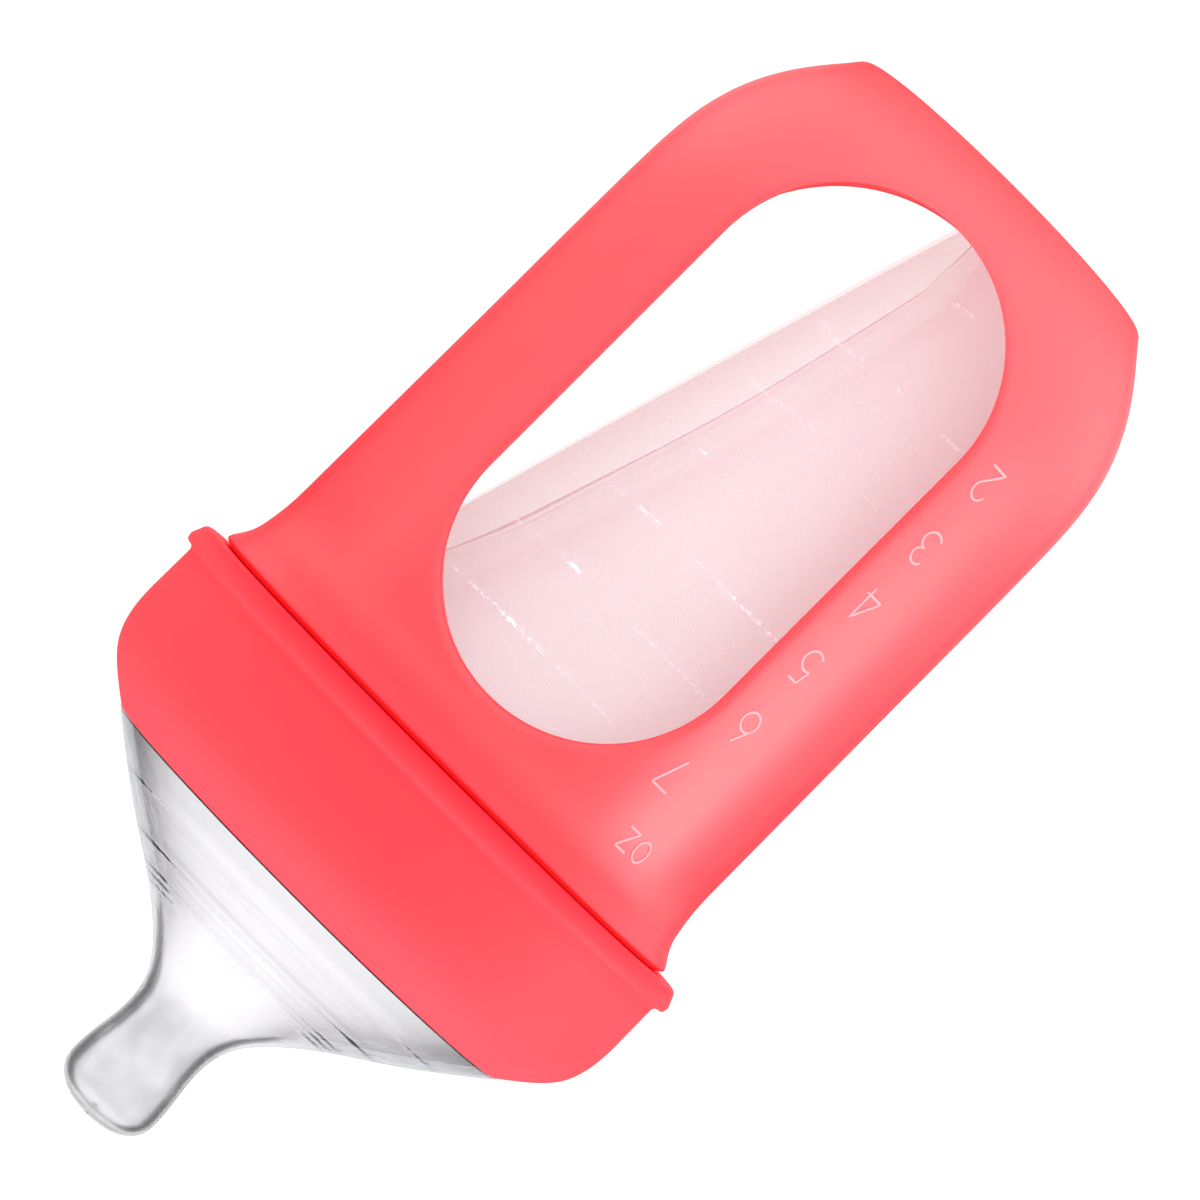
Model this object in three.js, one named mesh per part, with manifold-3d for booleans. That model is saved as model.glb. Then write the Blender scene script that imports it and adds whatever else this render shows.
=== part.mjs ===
// Wide-neck infant feeding bottle: a rigid windowed shell, a soft silicone pouch hung inside it,
// a wide silicone nipple and the threaded collar that clamps the nipple and the pouch on the neck.
// Millimetres. +Z is up along the bottle's axis, the origin is the centre of the base's underside,
// and the front window faces -Y.

import * as THREE from "three";
import * as BufferGeometryUtils from "three/addons/utils/BufferGeometryUtils.js";
import Module from "manifold-3d";

const wasm = await Module();
wasm.setup();

// Driving dimensions.
const AROUND = 48; // facets around the axis
const MERGE = 1e-4; // distance under which two vertices are one
const GAP = 0.3; // clearance between neighbouring pieces

const BASE_FLAT_R = 23.0;
const BASE_CORNER = { r: 24.8, z: 1.5 };
const DOME_TOP_Z = 26;
const BODY_R_LOW = 34.55; // where the base dome ends
const BODY_R_HIGH = 34.9; // just under the flare
const WALL = 2.2;
const FLOOR_Z = 2.2;
const FLARE_Z = 88.5;
const LIP = { r: 37.3, z: 95.2 }; // the shell's widest point, under the collar
const SHOULDER_Z = 96.4;
const NECK_R = 33.8;
const NECK_BORE_R = 31.4;
const NECK_TOP_Z = 107.5;

const FRONT_WINDOW = { halfWidth: 19.3, bottom: 9.4, top: 86.7, side: -1 };
const REAR_WINDOW = { halfWidth: 23.7, bottom: 4.4, top: 88.5, side: 1 };

const THREAD_LEAD = 4.5; // one start, right-handed
const THREAD_BEAD = 1.2; // radius of the round bead
const THREAD_TURNS = 1.35;
const THREAD_START_Z = 98.9; // centre of the shell's bead where it begins
const COLLAR_THREAD_R = 35.4;
const COLLAR_THREAD_FROM = -0.25; // turns, counted from where the shell's bead begins
const BEAD_STEPS_PER_TURN = 36;
const BEAD_ARC_STEPS = 4; // the bead has twice as many sides

const COLLAR_BORE_R = 35.6;
const COLLAR_R = 39.8;
const COLLAR_SKIRT_Z = SHOULDER_Z + GAP;
const FLANGE_R = 41.2;
const FLANGE_BOTTOM_Z = 97.0;
const FLANGE_TOP_Z = 99.6;
const COLLAR_MOUTH = { r: 32.0, z: 119.8 }; // the edge the nipple comes out of
const COLLAR_SEAT_Z = 112.2; // underside of the step that holds the nipple's flange

const POUCH_RIM = { inner: 29.5, outer: 33.8, bottom: NECK_TOP_Z + GAP, top: 109.6 };
const POUCH_R = 31.0;
const POUCH_WALL = 1.5;
const POUCH_BOTTOM_Z = 4.5;
const FOLD_TOP_Z = 95; // above this the pouch is round
const FOLD_FULL_Z = 69; // below this it is fully folded
const LOBE_ANGLES = [-55, 35, 180]; // degrees from +X, where the folded pouch stands out
const LOBE_R_TOP = 24; // lobe reach at FOLD_FULL_Z
const LOBE_R_BOTTOM = 13; // lobe reach at the pouch's bottom
const LOBE_SHIFT = -9.5; // how far the bottom leans to -X
const VALLEY_DEPTH = 0.3; // share of the reach lost between two lobes

const NIPPLE_TIP_Z = 158;
const NIPPLE_WALL = 1.8;
const NIPPLE_HOLE_R = 0.5;
const NIPPLE_NECK_R = 31.65; // where it passes through the collar's mouth
const NIPPLE_FLANGE = { inner: 28.8, outer: 35.0, bottom: 109.9, top: 111.9 };

const CORAL = "#ff5358";
const CLEAR = "#e8ebee";
const MILKY_PINK = "#f4dedf";

// Shapes.

function point(r, z) {
  return new THREE.Vector2(r, z);
}

// A smooth line through a few points, sampled in equal steps.
function smooth(corners, steps) {
  return new THREE.SplineCurve(corners.map(([r, z]) => point(r, z))).getPoints(steps);
}

// Turns an outline of (radius, height) points about Z. It runs up the outside and down the inside.
function turned(outline) {
  return new THREE.LatheGeometry(outline, AROUND).rotateX(Math.PI / 2);
}

// Moves an outline sideways by a wall, to the left of the way it runs.
function offsetOutline(outline, wall) {
  return outline.map((here, i) => {
    const before = outline[Math.max(i - 1, 0)];
    const after = outline[Math.min(i + 1, outline.length - 1)];
    const along = after.clone().sub(before).normalize();
    return point(here.x - along.y * wall, here.y + along.x * wall);
  });
}

function toSolid(geometry) {
  const bare = geometry.clone();
  bare.deleteAttribute("normal");
  bare.deleteAttribute("uv");
  const merged = BufferGeometryUtils.mergeVertices(bare, MERGE);
  const corners = merged.index.array;
  const kept = [];
  for (let i = 0; i < corners.length; i += 3) {
    const [a, b, c] = corners.slice(i, i + 3);
    if (a !== b && b !== c && c !== a) {
      kept.push(a, b, c);
    }
  }
  const vertProperties = Float32Array.from(merged.attributes.position.array);
  const triVerts = Uint32Array.from(kept);
  return new wasm.Manifold(new wasm.Mesh({ numProp: 3, vertProperties, triVerts }));
}

function toGeometry(solid) {
  const { vertProperties, triVerts } = solid.getMesh();
  const geometry = new THREE.BufferGeometry();
  geometry.setAttribute("position", new THREE.BufferAttribute(vertProperties, 3));
  geometry.setIndex(new THREE.BufferAttribute(triVerts, 1));
  geometry.computeVertexNormals();
  return geometry;
}

// A round bead wound about Z: the thread on the neck and the one in the collar.
class Helix extends THREE.Curve {
  constructor(radius, startZ, fromTurn, turns) {
    super();
    Object.assign(this, { radius, startZ, fromTurn, turns });
  }

  getPoint(t, target = new THREE.Vector3()) {
    const turn = this.fromTurn + t * this.turns;
    const angle = 2 * Math.PI * turn;
    const z = this.startZ + THREAD_LEAD * turn;
    return target.set(this.radius * Math.cos(angle), this.radius * Math.sin(angle), z);
  }
}

function threadBead(radius, startZ, fromTurn) {
  const section = new THREE.Shape().absarc(0, 0, THREAD_BEAD, 0, 2 * Math.PI);
  return new THREE.ExtrudeGeometry(section, {
    steps: Math.round(THREAD_TURNS * BEAD_STEPS_PER_TURN),
    curveSegments: BEAD_ARC_STEPS,
    bevelEnabled: false,
    extrudePath: new Helix(radius, startZ, fromTurn, THREAD_TURNS),
  });
}

// A long window with round ends, cut straight through one side of the shell.
function windowCutter({ halfWidth, bottom, top, side }) {
  const outline = new THREE.Shape()
    .absarc(0, top - halfWidth, halfWidth, 0, Math.PI)
    .absarc(0, bottom + halfWidth, halfWidth, Math.PI, 2 * Math.PI);
  const reach = LIP.r + 1;
  const cutter = new THREE.ExtrudeGeometry(outline, {
    depth: reach,
    curveSegments: 14,
    bevelEnabled: false,
  });
  cutter.rotateX(Math.PI / 2); // it now runs from y = 0 to y = -reach
  return side < 0 ? cutter : cutter.translate(0, reach, 0);
}

// Pieces.

function bottleShell() {
  const dome = new THREE.CubicBezierCurve(
    point(BASE_CORNER.r, BASE_CORNER.z),
    point(31.0, 10.2),
    point(34.2, 16.5),
    point(BODY_R_LOW, DOME_TOP_Z),
  ).getPoints(5);
  const flare = new THREE.QuadraticBezierCurve(
    point(BODY_R_HIGH, FLARE_Z),
    point(35.2, 93.6),
    point(LIP.r, LIP.z),
  ).getPoints(3);
  const innerDome = offsetOutline(dome, WALL).reverse();
  const profile = [
    point(0, 0),
    point(BASE_FLAT_R, 0),
    point(24.2, 0.5),
    ...dome,
    ...flare,
    point(35.2, SHOULDER_Z),
    point(NECK_R, SHOULDER_Z),
    point(NECK_R, NECK_TOP_Z),
    point(NECK_BORE_R, NECK_TOP_Z),
    point(NECK_BORE_R, SHOULDER_Z),
    point(BODY_R_HIGH - WALL, FLARE_Z),
    ...innerDome.slice(0, -1),
    point(21.5, FLOOR_Z),
    point(0, FLOOR_Z),
  ];
  const shell = toSolid(turned(profile))
    .subtract(toSolid(windowCutter(FRONT_WINDOW)))
    .subtract(toSolid(windowCutter(REAR_WINDOW)))
    .add(toSolid(threadBead(NECK_R, THREAD_START_Z, 0)));
  return toGeometry(shell);
}

function threadedCollar() {
  const mouth = COLLAR_MOUTH;
  const dome = smooth([
    [COLLAR_R, 107.5],
    [39.4, 111.1],
    [38.3, 114.1],
    [35.7, 117.0],
    [mouth.r + 0.3, mouth.z],
  ], 6);
  const profile = [
    point(COLLAR_BORE_R, COLLAR_SKIRT_Z),
    point(37.3, COLLAR_SKIRT_Z),
    point(37.6, FLANGE_BOTTOM_Z),
    point(40.4, FLANGE_BOTTOM_Z),
    point(FLANGE_R, 98.0),
    point(FLANGE_R, 99.0),
    point(40.7, FLANGE_TOP_Z),
    point(COLLAR_R, 100.6),
    ...dome,
    point(mouth.r, mouth.z - 0.3),
    point(mouth.r, 117.5),
    point(33.4, COLLAR_SEAT_Z),
    point(COLLAR_BORE_R, COLLAR_SEAT_Z),
    point(COLLAR_BORE_R, COLLAR_SKIRT_Z),
  ];
  const startZ = THREAD_START_Z + THREAD_LEAD / 2;
  const bead = threadBead(COLLAR_THREAD_R, startZ, COLLAR_THREAD_FROM);
  return toGeometry(toSolid(turned(profile)).add(toSolid(bead)));
}

function nipple() {
  const flange = NIPPLE_FLANGE;
  // From the collar's mouth up the cone, in to the waist, and over the rounded tip.
  const outside = smooth([
    [NIPPLE_NECK_R, 120.2],
    [26.5, 124.3],
    [20.4, 128.7],
    [14.0, 133.1],
    [9.05, 137.5],
    [6.4, 141.9],
    [6.2, 146.3],
    [6.9, 152.1],
    [6.4, 155.2],
    [4.4, 157.2],
    [NIPPLE_HOLE_R, NIPPLE_TIP_Z],
  ], 15);
  const inside = offsetOutline(outside, NIPPLE_WALL).reverse();
  const profile = [
    point(flange.inner, flange.bottom),
    point(flange.outer, flange.bottom),
    point(flange.outer, flange.top),
    point(33.1, flange.top),
    point(NIPPLE_NECK_R, 117.5),
    ...outside,
    point(NIPPLE_HOLE_R, NIPPLE_TIP_Z - NIPPLE_WALL),
    ...inside.slice(1),
    point(29.4, 117.5),
    point(flange.inner, flange.bottom),
  ];
  return turned(profile);
}

function siliconePouch() {
  const rim = POUCH_RIM;
  const belly = [
    [12, POUCH_BOTTOM_Z],
    [24, POUCH_BOTTOM_Z + 1.8],
    [POUCH_R - 1.2, POUCH_BOTTOM_Z + 8],
    [POUCH_R, POUCH_BOTTOM_Z + 22],
  ];
  const outside = [
    point(0, POUCH_BOTTOM_Z),
    ...smooth(belly, 5),
    point(POUCH_R, 42),
    point(POUCH_R, 56),
    point(POUCH_R, FOLD_FULL_Z),
    point(POUCH_R, 78),
    point(POUCH_R, 86),
    point(POUCH_R, FOLD_TOP_Z),
    point(POUCH_R, rim.bottom),
  ];
  const inside = offsetOutline(outside, POUCH_WALL).reverse();
  inside[inside.length - 1].x = 0;
  const profile = [
    ...outside,
    point(rim.outer, rim.bottom),
    point(rim.outer, rim.top),
    point(rim.inner, rim.top),
    ...inside.slice(1),
  ];
  const cup = turned(profile);
  foldPouch(cup.attributes.position);
  cup.computeVertexNormals();
  return cup;
}

// How far out the folded pouch stands in one direction, as a share of its lobes' reach.
function lobeShape(angle) {
  const lobes = LOBE_ANGLES.map((degrees) => THREE.MathUtils.degToRad(degrees));
  for (let i = 0; i < lobes.length; i += 1) {
    const from = lobes[i];
    const next = lobes[(i + 1) % lobes.length];
    const span = THREE.MathUtils.euclideanModulo(next - from, 2 * Math.PI);
    const past = THREE.MathUtils.euclideanModulo(angle - from, 2 * Math.PI);
    if (past <= span) {
      return 1 - VALLEY_DEPTH * Math.sin((Math.PI * past) / span);
    }
  }
  return 1;
}

// Draws the round cup in to three lobes that get smaller and lean to one side further down.
function foldPouch(position) {
  for (let i = 0; i < position.count; i += 1) {
    const [x, y, z] = [position.getX(i), position.getY(i), position.getZ(i)];
    const folded = 1 - THREE.MathUtils.smoothstep(z, FOLD_FULL_Z, FOLD_TOP_Z);
    const down = THREE.MathUtils.clamp((FOLD_FULL_Z - z) / (FOLD_FULL_Z - POUCH_BOTTOM_Z), 0, 1);
    const reach = THREE.MathUtils.lerp(LOBE_R_TOP, LOBE_R_BOTTOM, down);
    const share = (lobeShape(Math.atan2(y, x)) * reach) / POUCH_R;
    const scale = THREE.MathUtils.lerp(1, share, folded);
    position.setXY(i, x * scale + LOBE_SHIFT * down, y * scale);
  }
}

// Assembly.

function piece(name, geometry, look) {
  const mesh = new THREE.Mesh(geometry, new THREE.MeshStandardMaterial(look));
  mesh.name = name;
  return mesh;
}

const bottle = new THREE.Group();
const plastic = { color: CORAL, roughness: 0.42, metalness: 0 };
bottle.add(
  piece("bottle_shell", bottleShell(), plastic),
  piece("threaded_collar", threadedCollar(), plastic),
  piece("nipple", nipple(), { color: CLEAR, roughness: 0.15, metalness: 0 }),
  piece("silicone_pouch", siliconePouch(), { color: MILKY_PINK, roughness: 0.4, metalness: 0 }),
);

export default bottle;
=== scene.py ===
"""Looks of the infant feeding bottle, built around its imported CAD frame.

The visible pieces are fine meshes made here in code: the windowed shell with its moulded volume scale,
the threaded collar, the clear nipple and the folded silicone pouch. Outlines are written in millimetres
and turned into metres when a mesh is made. +Z is up the bottle and the front window faces -Y.
"""

import math

import bmesh
import bpy
import numpy as np
from mathutils import Matrix, Vector


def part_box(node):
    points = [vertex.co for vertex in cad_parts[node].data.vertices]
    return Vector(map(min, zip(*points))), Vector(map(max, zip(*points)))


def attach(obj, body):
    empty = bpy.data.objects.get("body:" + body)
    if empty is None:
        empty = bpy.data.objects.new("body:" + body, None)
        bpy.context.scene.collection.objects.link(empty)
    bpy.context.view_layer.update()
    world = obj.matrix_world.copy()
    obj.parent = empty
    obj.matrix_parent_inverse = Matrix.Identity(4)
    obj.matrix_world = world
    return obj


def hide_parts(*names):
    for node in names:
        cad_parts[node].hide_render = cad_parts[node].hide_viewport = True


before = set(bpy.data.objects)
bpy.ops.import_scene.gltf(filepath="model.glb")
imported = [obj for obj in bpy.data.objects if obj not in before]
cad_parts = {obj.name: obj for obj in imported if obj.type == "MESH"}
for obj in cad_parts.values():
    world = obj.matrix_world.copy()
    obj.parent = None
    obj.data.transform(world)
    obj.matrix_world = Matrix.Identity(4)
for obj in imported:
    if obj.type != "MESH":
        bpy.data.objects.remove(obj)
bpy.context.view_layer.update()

MM = 0.001  # one millimetre in Blender's metres


def heights(node):
    """Lowest and highest Z of a CAD node, in millimetres."""
    low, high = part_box(node)
    return low.z / MM, high.z / MM


NECK_TOP = heights("bottle_shell")[1]
SKIRT_Z, MOUTH_Z = heights("threaded_collar")
POUCH_Z, RIM_TOP = heights("silicone_pouch")
NIPPLE_Z, TIP_Z = heights("nipple")
FLANGE_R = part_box("threaded_collar")[1].x / MM
LIP_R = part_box("bottle_shell")[1].x / MM

AROUND = 160  # steps round the axis, for every turned surface
WALL = 2.2  # of the shell
NECK_R = 33.8
BORE_R = 31.4
SHOULDER_Z = SKIRT_Z - 0.08  # where the shell's lip stops under the collar
COLLAR_BORE_R = 35.6
COLLAR_SEAT_Z = 112.2
MOUTH_R = 32.0
LEAD = 4.5  # of the thread, per turn
THREAD_TURNS = 1.35
THREAD_TAPER = 0.07  # of a turn, at each end
THREAD_START = 98.9
BEAD = 1.25  # half the thread bead's width
NECK_BEAD = 1.2  # how far each bead stands out
COLLAR_BEAD = 1.4


# Outlines: arrays of (radius, height) points.

NEARLY_STRAIGHT = 1.55  # half a corner's angle, in radians, above which it isn't rounded


def spline(points, count):
    """A natural cubic through the points, with count samples at even steps."""
    p = np.asarray(points, float)
    t = np.concatenate(([0.0], np.cumsum(np.linalg.norm(np.diff(p, axis=0), axis=1))))
    h = np.diff(t)
    n = len(p)
    a = np.eye(n)
    b = np.zeros((n, p.shape[1]))
    for i in range(1, n - 1):
        a[i, i - 1 : i + 2] = h[i - 1], 2 * (h[i - 1] + h[i]), h[i]
        b[i] = 6 * ((p[i + 1] - p[i]) / h[i] - (p[i] - p[i - 1]) / h[i - 1])
    m = np.linalg.solve(a, b)
    s = np.linspace(0, t[-1], count)
    k = np.clip(np.searchsorted(t, s, side="right") - 1, 0, n - 2)
    u = (s - t[k])[:, None]
    w = h[k][:, None]
    slope = (p[k + 1] - p[k]) / w - w * (2 * m[k] + m[k + 1]) / 6
    return p[k] + u * slope + u**2 * m[k] / 2 + u**3 * (m[k + 1] - m[k]) / (6 * w)


def filleted(corners, steps=6):
    """An open outline through corners (radius, height, fillet), each corner rounded by an arc."""
    p = np.array([c[:2] for c in corners], float)
    out = [p[0]]
    for i in range(1, len(p) - 1):
        fillet = corners[i][2]
        back = (p[i - 1] - p[i]) / np.linalg.norm(p[i - 1] - p[i])
        on = (p[i + 1] - p[i]) / np.linalg.norm(p[i + 1] - p[i])
        half = math.acos(np.clip(back @ on, -1, 1)) / 2
        if fillet == 0 or half > NEARLY_STRAIGHT:
            out.append(p[i])
            continue
        middle = (back + on) / np.linalg.norm(back + on)
        centre = p[i] + middle * fillet / math.sin(half)
        start = p[i] + back * fillet / math.tan(half) - centre
        end = p[i] + on * fillet / math.tan(half) - centre
        sweep = math.pi - 2 * half
        for f in np.linspace(0, 1, steps + 1):
            arc = math.sin((1 - f) * sweep) * start + math.sin(f * sweep) * end
            out.append(centre + arc / math.sin(sweep))
    out.append(p[-1])
    return np.array(out)


def offset(outline, wall):
    """The outline moved to the left of the way it runs, by a wall or by one wall for each point."""
    along = np.gradient(outline, axis=0)
    along /= np.linalg.norm(along, axis=1)[:, None]
    left = np.stack([-along[:, 1], along[:, 0]], axis=1)
    return outline + left * np.reshape(wall, (-1, 1))


def divided(outline, step):
    """The same outline with its long straight stretches cut into steps."""
    out = [outline[0]]
    for a, b in zip(outline[:-1], outline[1:]):
        n = max(1, math.ceil(np.linalg.norm(b - a) / step))
        out.extend(a + (b - a) * k / n for k in range(1, n + 1))
    return np.array(out)


def smoothstep(low, high, x):
    t = np.clip((np.asarray(x, float) - low) / (high - low), 0, 1)
    return t * t * (3 - 2 * t)


# Meshes.


class Builder:
    """Collects points in millimetres and faces, and makes one welded mesh object of them."""

    def __init__(self):
        self.points, self.shares, self.faces, self.count = [], [], [], 0

    def add(self, points, **shares):
        """Adds points of any array shape, with 0 to 1 shares for materials, and returns their numbers."""
        points = np.asarray(points, float)
        shape = points.shape[:-1]
        self.points.append(points.reshape(-1, 3))
        flat = {name: np.broadcast_to(share, shape).ravel() for name, share in shares.items()}
        self.shares.append(flat)
        first = self.count
        self.count += int(np.prod(shape))
        return np.arange(first, self.count).reshape(shape)

    def grid(self, index, close_rows=False, close_columns=False):
        """Quads between neighbouring numbers of a grid."""
        if close_rows:
            index = np.vstack([index, index[:1]])
        if close_columns:
            index = np.hstack([index, index[:, :1]])
        quads = np.stack([index[:-1, :-1], index[:-1, 1:], index[1:, 1:], index[1:, :-1]], axis=-1)
        self.faces.extend(quads.reshape(-1, 4).tolist())

    def cap(self, ring, centre):
        """A fan of triangles from a ring to one point."""
        middle = int(self.add([centre])[0])
        self.faces.extend([int(a), int(b), middle] for a, b in zip(ring, np.roll(ring, -1)))

    def object(self, name, material):
        """The welded, smooth mesh object of everything added."""
        mesh = bpy.data.meshes.new(name)
        mesh.from_pydata((np.vstack(self.points) * MM).tolist(), [], self.faces)
        for share in sorted({name for shares in self.shares for name in shares}):
            values = [s.get(share, np.zeros(len(p))) for s, p in zip(self.shares, self.points)]
            layer = mesh.attributes.new(share, "FLOAT", "POINT")
            layer.data.foreach_set("value", np.concatenate(values))
        work = bmesh.new()
        work.from_mesh(mesh)
        bmesh.ops.remove_doubles(work, verts=work.verts, dist=0.002 * MM)
        bmesh.ops.dissolve_degenerate(work, edges=work.edges, dist=0.0005 * MM)
        bmesh.ops.recalc_face_normals(work, faces=work.faces)
        for face in work.faces:
            face.smooth = True
        work.to_mesh(mesh)
        work.free()
        mesh.materials.append(material)
        made = bpy.data.objects.new(name, mesh)
        bpy.context.scene.collection.objects.link(made)
        return made


def turned(outline, angle=None):
    """Grid of points of an outline turned about Z to even or given angles: a row for each outline point."""
    if angle is None:
        angle = np.arange(AROUND) * 2 * math.pi / AROUND
    r, z = outline[:, :1], outline[:, 1:]
    return np.stack([r * np.cos(angle), r * np.sin(angle), z + 0 * angle], axis=-1)


def thread_height(points, start, from_turn):
    """How far a round bead wound about Z stands out at each point, tapered at both ends."""
    turn = np.arctan2(points[..., 1], points[..., 0]) / (2 * math.pi)
    to_turn = from_turn + THREAD_TURNS
    best = np.zeros(turn.shape)
    for k in range(-2, 4):
        t = turn + k
        away = points[..., 2] - (start + LEAD * t)
        bead = np.cos(np.clip(away / BEAD, -1, 1) * math.pi / 2) ** 1.3
        taper = smoothstep(from_turn, from_turn + THREAD_TAPER, t)
        taper = taper * smoothstep(to_turn, to_turn - THREAD_TAPER, t)
        best = np.maximum(best, bead * taper)
    return best


def push_out(points, distance):
    """Moves points away from the Z axis."""
    r = np.linalg.norm(points[..., :2], axis=-1, keepdims=True)
    moved = points.copy()
    moved[..., :2] *= 1 + np.asarray(distance)[..., None] / np.maximum(r, 1e-9)
    return moved


# Shell.

BASE_Z = 1.8  # where the patches round the windows begin, just over the base's corner
PATCH_TOP_Z = 90.6
DOME = [
    (25.0, BASE_Z), (27.4, 4.7), (30.1, 8.6), (32.7, 14.2), (33.95, 19.4), (34.45, 25.2), (34.6, 32.0),
    (34.7, 50.0), (34.82, 70.0), (34.92, 84.0), (35.12, 88.8), (35.38, PATCH_TOP_Z),
]
FLARE = [(35.12, 88.8), (35.38, PATCH_TOP_Z), (35.95, 93.0), (37.3, 95.3)]


class Window:
    """A long round-ended window cut straight through one side of the shell."""

    def __init__(self, side, half_width, bottom, top, round_out, round_in):
        self.side, self.half_width = side, half_width
        self.low, self.high = bottom + half_width, top - half_width
        self.round_out, self.round_in = round_out, round_in


FRONT = Window(side=-1, half_width=19.4, bottom=8.9, top=86.7, round_out=1.3, round_in=0.9)
REAR = Window(side=1, half_width=23.7, bottom=4.4, top=88.5, round_out=1.0, round_in=0.6)
EDGE_STEPS = AROUND // 2  # along the top or bottom of one window's patch
CORNER_STEPS = 22
SIDE_STEPS = 40
PATCH_RINGS = 20
ROUND_STEPS = 7
INNER_TURN_Z = 82.0  # where the inner wall leaves the outer one and draws in to the neck's bore
SEAM_STEPS = 40  # samples of the outer wall's offset that the inner curve takes over


def shell_outlines():
    """The shell's outer and inner walls over the height of the windows."""
    outer = spline(DOME, 700)
    inner = offset(outer, WALL)
    low = inner[inner[:, 1] < INNER_TURN_Z]
    high = spline([low[-SEAM_STEPS], low[-1], (32.3, 88.0), (31.75, 92.0)], 90)
    return outer, np.vstack([low[:1 - SEAM_STEPS], high[1:]])


def window_outline(window):
    """Points and outward directions (x, z) round a window, from the lower end of its right side."""
    quarter = math.pi / 4
    top = np.concatenate([
        np.linspace(0, quarter, CORNER_STEPS, endpoint=False),
        np.linspace(quarter, 3 * quarter, EDGE_STEPS, endpoint=False),
        np.linspace(3 * quarter, math.pi, CORNER_STEPS, endpoint=False),
    ])
    up = np.linspace(window.low, window.high, SIDE_STEPS, endpoint=False)
    down = np.linspace(window.high, window.low, SIDE_STEPS, endpoint=False)
    angle = np.concatenate([0 * up, top, 0 * down + math.pi, top + math.pi])
    z = np.concatenate([up, 0 * top + window.high, down, 0 * top + window.low])
    out = np.stack([np.cos(angle), np.sin(angle)], axis=1)
    w = window.half_width
    return np.stack([out[:, 0] * w, z + out[:, 1] * w], axis=1), out


def patch_border(window, length_low, length_high, side_lengths):
    """The patch's outer border as (angle, length up the wall), one point for each outline point."""
    corner = np.arange(CORNER_STEPS) / CORNER_STEPS
    edge = np.arange(EDGE_STEPS) / EDGE_STEPS
    side = np.arange(SIDE_STEPS) / SIDE_STEPS
    low, high = side_lengths
    stretches = [  # (steps, half turn at the start and end, length up the wall at the start and end)
        (side, 0, 0, low, high), (corner, 0, 0, high, length_high), (edge, 0, 1, length_high, length_high),
        (corner, 1, 1, length_high, high), (side, 1, 1, high, low), (corner, 1, 1, low, length_low),
        (edge, 1, 0, length_low, length_low), (corner, 0, 0, length_low, low),
    ]
    turn = np.concatenate([a + (b - a) * share for share, a, b, _, _ in stretches])
    length = np.concatenate([a + (b - a) * share for share, _, _, a, b in stretches])
    return np.stack([window.side * math.pi * turn, length], axis=1)


def wall_length(outline):
    """How far along the outline each of its points is."""
    return np.concatenate(([0.0], np.cumsum(np.linalg.norm(np.diff(outline, axis=0), axis=1))))


def wall_patch(builder, window, outline, round_over):
    """Half of one wall round a window. Returns the point numbers of the hole in it."""
    length = wall_length(outline)
    middle, out = window_outline(window)
    hole = middle + out * round_over
    r = np.interp(hole[:, 1], outline[:, 1], outline[:, 0])
    hole = np.stack([
        window.side * np.arccos(np.clip(hole[:, 0] / r, -1, 1)),
        np.interp(hole[:, 1], outline[:, 1], length),
    ], axis=1)
    side_lengths = np.interp([window.low, window.high], outline[:, 1], length)
    border = patch_border(window, length[0], length[-1], side_lengths)
    share = (np.linspace(0, 1, PATCH_RINGS + 1) ** 1.35)[:, None, None]
    place = hole + (border - hole) * share
    angle, along = place[..., 0], place[..., 1]
    r = np.interp(along, length, outline[:, 0])
    z = np.interp(along, length, outline[:, 1])
    index = builder.add(np.stack([r * np.cos(angle), r * np.sin(angle), z], axis=-1))
    builder.grid(index, close_columns=True)
    return index[0]


def window_rim(builder, window, outer, inner):
    """The rounded edge of a window, from the outer wall in to the inner wall."""
    middle, out = window_outline(window)
    turn = np.linspace(0, math.pi / 2, ROUND_STEPS + 1)
    # Each step is (distance outside the window's outline, depth as a share of the wall).
    steps = [(window.round_out * (1 - math.sin(t)), 0.38 * (1 - math.cos(t))) for t in turn]
    steps += [(0.0, f) for f in (0.5, 0.62)]
    steps += [(window.round_in * (1 - math.cos(t)), 0.72 + 0.28 * math.sin(t)) for t in turn]
    rows = []
    for away, depth in steps:
        place = middle + out * away
        y = []
        for wall in (outer, inner):
            r = np.interp(place[:, 1], wall[:, 1], wall[:, 0])
            y.append(window.side * np.sqrt(np.maximum(r**2 - place[:, 0] ** 2, 0)))
        rows.append(np.stack([place[:, 0], y[0] + (y[1] - y[0]) * depth, place[:, 1]], axis=-1))
    builder.grid(builder.add(np.array(rows)), close_columns=True)


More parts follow.
